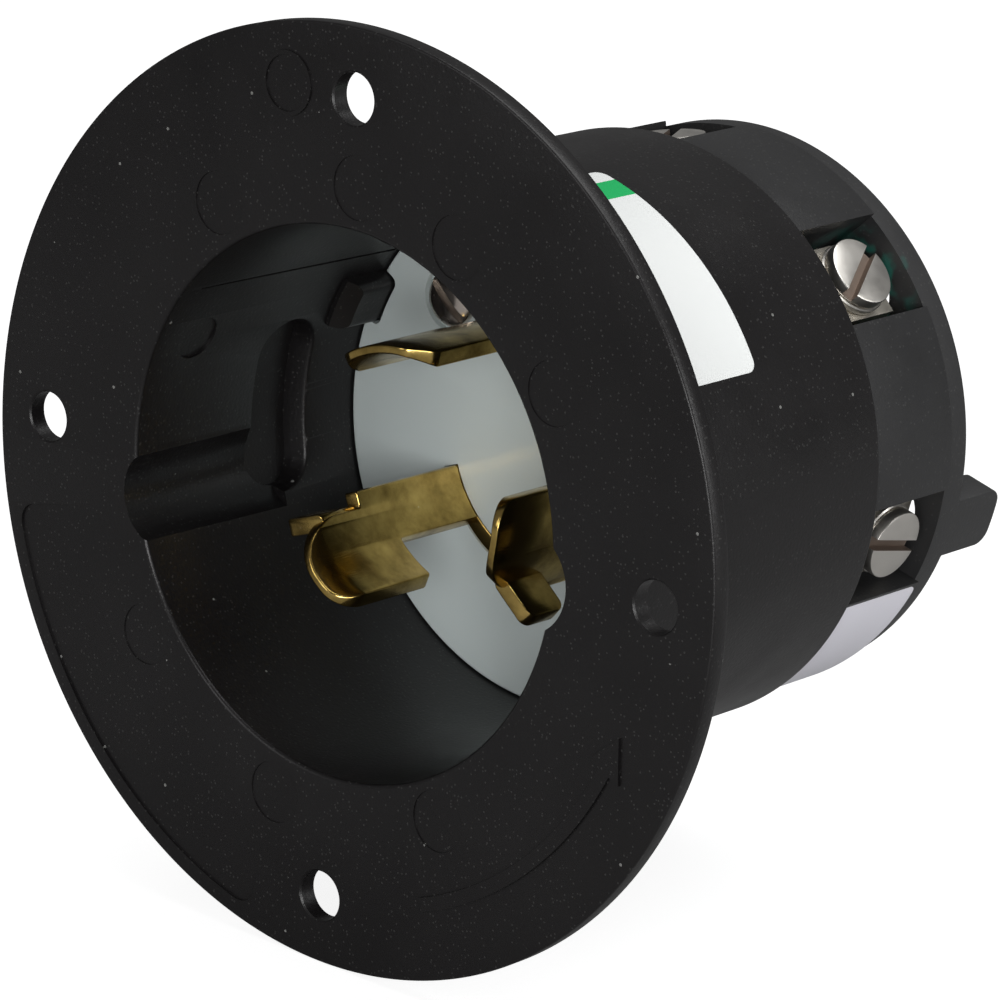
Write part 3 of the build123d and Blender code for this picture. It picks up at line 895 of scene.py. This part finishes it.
def pan_head_screw(angle):
    """Low pan head with a slot, on a plain shank."""
    seat = face_depth + sink_depth
    front = seat - pan_head_t
    outline = [
        (0, front), (1.2, front + 0.03), (2.1, front + 0.16), (2.75, front + 0.42),
        (pan_head_r, front + 0.85), (pan_head_r, seat), (long_shank_r, seat), (long_shank_r, long_screw_end),
        (0, long_screw_end),
    ]
    mesh = turn_outline(outline, closed=False)
    slot = block(pan_slot, (0, front - flange_t, 0))
    bmesh.ops.rotate(slot, verts=slot.verts, matrix=Matrix.Rotation(-math.radians(angle), 3, "Y"))
    mesh = carve(mesh, slot)
    bmesh.ops.translate(mesh, verts=mesh.verts, vec=polar(long_screw_r, angle))
    return mesh


dull_nickel = plain_metal("dull_nickel", (0.76, 0.68, 0.61), (0.18, 0.3))
for node, angle in long_screw_angles.items():
    finish_piece(pan_head_screw(angle), f"{node}_piece", dull_nickel, "screw_nickel", node)

# Straps, clamp plates, ground strip and nuts
# Plain stamped brass and plated nuts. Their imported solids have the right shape, so they only get metals.

strap_brass = plain_metal("strap_brass", (0.78, 0.58, 0.26), (0.3, 0.45))
plate_nickel = plain_metal("plate_nickel", (0.70, 0.66, 0.58), (0.28, 0.42))


def dress_node(node, material):
    """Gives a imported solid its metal."""
    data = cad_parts[node].data
    data.materials.clear()
    data.materials.append(material)


for name in terminal_angles:
    dress_node(f"{name}_terminal", strap_brass)
    dress_node(f"{name}_clamp_plate", plate_nickel)
dress_node("ground_strip", strap_brass)
dress_node("upper_lock_nut", dull_nickel)
dress_node("lower_lock_nut", dull_nickel)

# Labels
# Two thin stickers left blank: a white one on the barrel with a green band near one end, and a bluish white
# one on the terminal body below a window.

sheet_sink = 0.12
sheet_raise = 0.03


def sticker(outer_r, start, end, front, back, corner):
    """Thin sheet with rounded corners, wrapped on a cylinder, with a map of its own that runs from 0 to 1."""
    width = math.radians(end - start) * outer_r
    length = back - front
    mesh = flat_block(width, length, outer_r - sheet_sink, outer_r + sheet_raise)
    bevel_edges(mesh, lambda e: span(e, "z") > 0.01, corner, 8)
    slice_across(mesh, -width / 2, width / 2, 60)
    layer = mesh.loops.layers.uv.new("sheet")
    for face in mesh.faces:
        for loop in face.loops:
            loop[layer].uv = (loop.vert.co.x / width + 0.5, loop.vert.co.y / length + 0.5)
    return roll(mesh, (start + end) / 2, (front + back) / 2, outer_r)


def sticker_paper(name, colour, band_colour, band):
    """Coated paper, with a printed band between two places along the sheet."""
    material, tree, shader = start_material(name)
    link = tree.links.new
    sheet = node_of(tree, "ShaderNodeUVMap", uv_map="sheet")
    split = node_of(tree, "ShaderNodeSeparateXYZ")
    wear = worn(tree, shader, ranged(tree, 0, 1, 0.38, 0.5))
    above = node_of(tree, "ShaderNodeMath", operation="GREATER_THAN")
    above.inputs[1].default_value = band[0]
    below = node_of(tree, "ShaderNodeMath", operation="LESS_THAN")
    below.inputs[1].default_value = band[1]
    inside = node_of(tree, "ShaderNodeMath", operation="MULTIPLY")
    tones = mixed(tree, [c * 0.95 for c in colour], colour)
    printed = mixed(tree, second=band_colour)
    link(sheet.outputs["UV"], split.inputs["Vector"])
    link(split.outputs["X"], above.inputs[0])
    link(split.outputs["X"], below.inputs[0])
    link(above.outputs[0], inside.inputs[0])
    link(below.outputs[0], inside.inputs[1])
    link(wear.outputs["Mottle"], tones.inputs["Factor"])
    link(tones.outputs["Result"], printed.inputs["A"])
    link(inside.outputs[0], printed.inputs["Factor"])
    link(printed.outputs["Result"], shader.inputs["Base Color"])
    return material


front_start = 28.1
front_end = 78.5
green_start = 69.4
green_end = 74.8
green_band = [(edge - front_start) / (front_end - front_start) for edge in (green_start, green_end)]
front_paper = sticker_paper("front_paper", (0.82, 0.84, 0.83), (0.0, 0.43, 0.11), green_band)
front_depths = (11.8, 31.6)
finish_piece(sticker(barrel_r, front_start, front_end, *front_depths, corner=1.2), "barrel_label",
             front_paper, "front_label_white", "front_label")
pale_blue = (0.82, 0.81, 0.88)
no_band = (2, 3)
rear_paper = sticker_paper("rear_paper", pale_blue, pale_blue, no_band)
rear_angles = (-84, -26.2)
rear_depths = (barrel_depth + 0.3, body_depth - 0.3)
finish_piece(sticker(body_r, *rear_angles, *rear_depths, corner=1.0), "body_label", rear_paper,
             "rear_label_white", "rear_label")

# Floor, backdrop and light
# A pale floor under the flange's lowest point, a white surround, and the soft light of a product studio.

floor_z = housing_low.z
floor_mesh = bmesh.new()
bmesh.ops.create_grid(floor_mesh, x_segments=1, y_segments=1, size=6)
bmesh.ops.translate(floor_mesh, verts=floor_mesh.verts, vec=(0, 0, floor_z))
floor_data = bpy.data.meshes.new("floor")
floor_mesh.to_mesh(floor_data)
floor_mesh.free()
floor = bpy.data.objects.new("floor", floor_data)
bpy.context.scene.collection.objects.link(floor)
floor_white, floor_tree, floor_shader = start_material("floor_white")
floor_shader.inputs["Base Color"].default_value = (0.3, 0.3, 0.3, 1)
floor_shader.inputs["Roughness"].default_value = 0.9
floor_shader.inputs["Emission Color"].default_value = (1, 1, 1, 1)
seen = node_of(floor_tree, "ShaderNodeLightPath")
glow = node_of(floor_tree, "ShaderNodeMath", operation="MULTIPLY")
floor_place = node_of(floor_tree, "ShaderNodeTexCoord")
away = node_of(floor_tree, "ShaderNodeVectorMath", operation="LENGTH")
rising = ranged(floor_tree, 0.15, 0.7, 0.86, 0.98)
floor_tree.links.new(floor_place.outputs["Object"], away.inputs[0])
floor_tree.links.new(away.outputs["Value"], rising.inputs["Value"])
floor_tree.links.new(rising.outputs["Result"], glow.inputs[1])
floor_tree.links.new(seen.outputs["Is Camera Ray"], glow.inputs[0])
floor_tree.links.new(glow.outputs[0], floor_shader.inputs["Emission Strength"])
floor_data.materials.append(floor_white)

world = bpy.data.worlds.new("studio")
bpy.context.scene.world = world
world.use_nodes = True
world_tree = world.node_tree
backdrop = world_tree.nodes["Background"]
backdrop.inputs["Color"].default_value = (1, 1, 1, 1)
ray = node_of(world_tree, "ShaderNodeLightPath")
strength = ranged(world_tree, 0, 1, 0.14, 1.0)
world_tree.links.new(ray.outputs["Is Camera Ray"], strength.inputs["Value"])
world_tree.links.new(strength.outputs["Result"], backdrop.inputs["Strength"])


def soft_light(name, place, aim, size, power, colour=(1, 1, 1)):
    """Square soft light that faces a point."""
    lamp = bpy.data.lights.new(name, "AREA")
    lamp.shape = "RECTANGLE"
    lamp.size = size[0]
    lamp.size_y = size[1]
    lamp.energy = power
    lamp.color = colour
    held = bpy.data.objects.new(name, lamp)
    held.location = place
    held.rotation_euler = (Vector(place) - Vector(aim)).to_track_quat("Z", "Y").to_euler()
    bpy.context.scene.collection.objects.link(held)


soft_light("overhead", (0.15, 0.15, 0.75), (0, 0.03, 0), (0.7, 0.7), 4.8)
soft_light("front_right", (0.78, -0.45, 0.12), (0, 0.02, 0), (0.4, 0.6), 2.0)
soft_light("front_left", (-0.25, -0.85, 0.35), (0, 0.02, 0), (0.4, 0.4), 1.6)
soft_light("by_camera", (0.50, -0.65, 0.12), (0, 0.02, 0), (0.3, 0.3), 3.1)
soft_light("rear_right", (0.85, 0.45, 0.30), (0, 0.05, 0), (0.3, 0.6), 2.4)

# Camera
# The photograph's own viewpoint, worked out from the circles of the flange, the mouth and the rear body.

eye = Vector((335.86, -364.26 - flange_t, 151.25)) * MM
right = Vector((0.7470, 0.6629, 0.0500))
up = Vector((-0.2279, 0.1848, 0.9560))
back = Vector((0.6245, -0.7255, 0.2891))
lens = bpy.data.cameras.new("camera")
lens.lens = 180.23
lens.sensor_width = 36
lens.sensor_height = 36
lens.clip_start = 0.01
camera = bpy.data.objects.new("camera", lens)
camera.matrix_world = Matrix((
    (right.x, up.x, back.x, eye.x),
    (right.y, up.y, back.y, eye.y),
    (right.z, up.z, back.z, eye.z),
    (0, 0, 0, 1),
))
bpy.context.scene.collection.objects.link(camera)
bpy.context.scene.camera = camera
bpy.context.scene.view_settings.view_transform = "Standard"
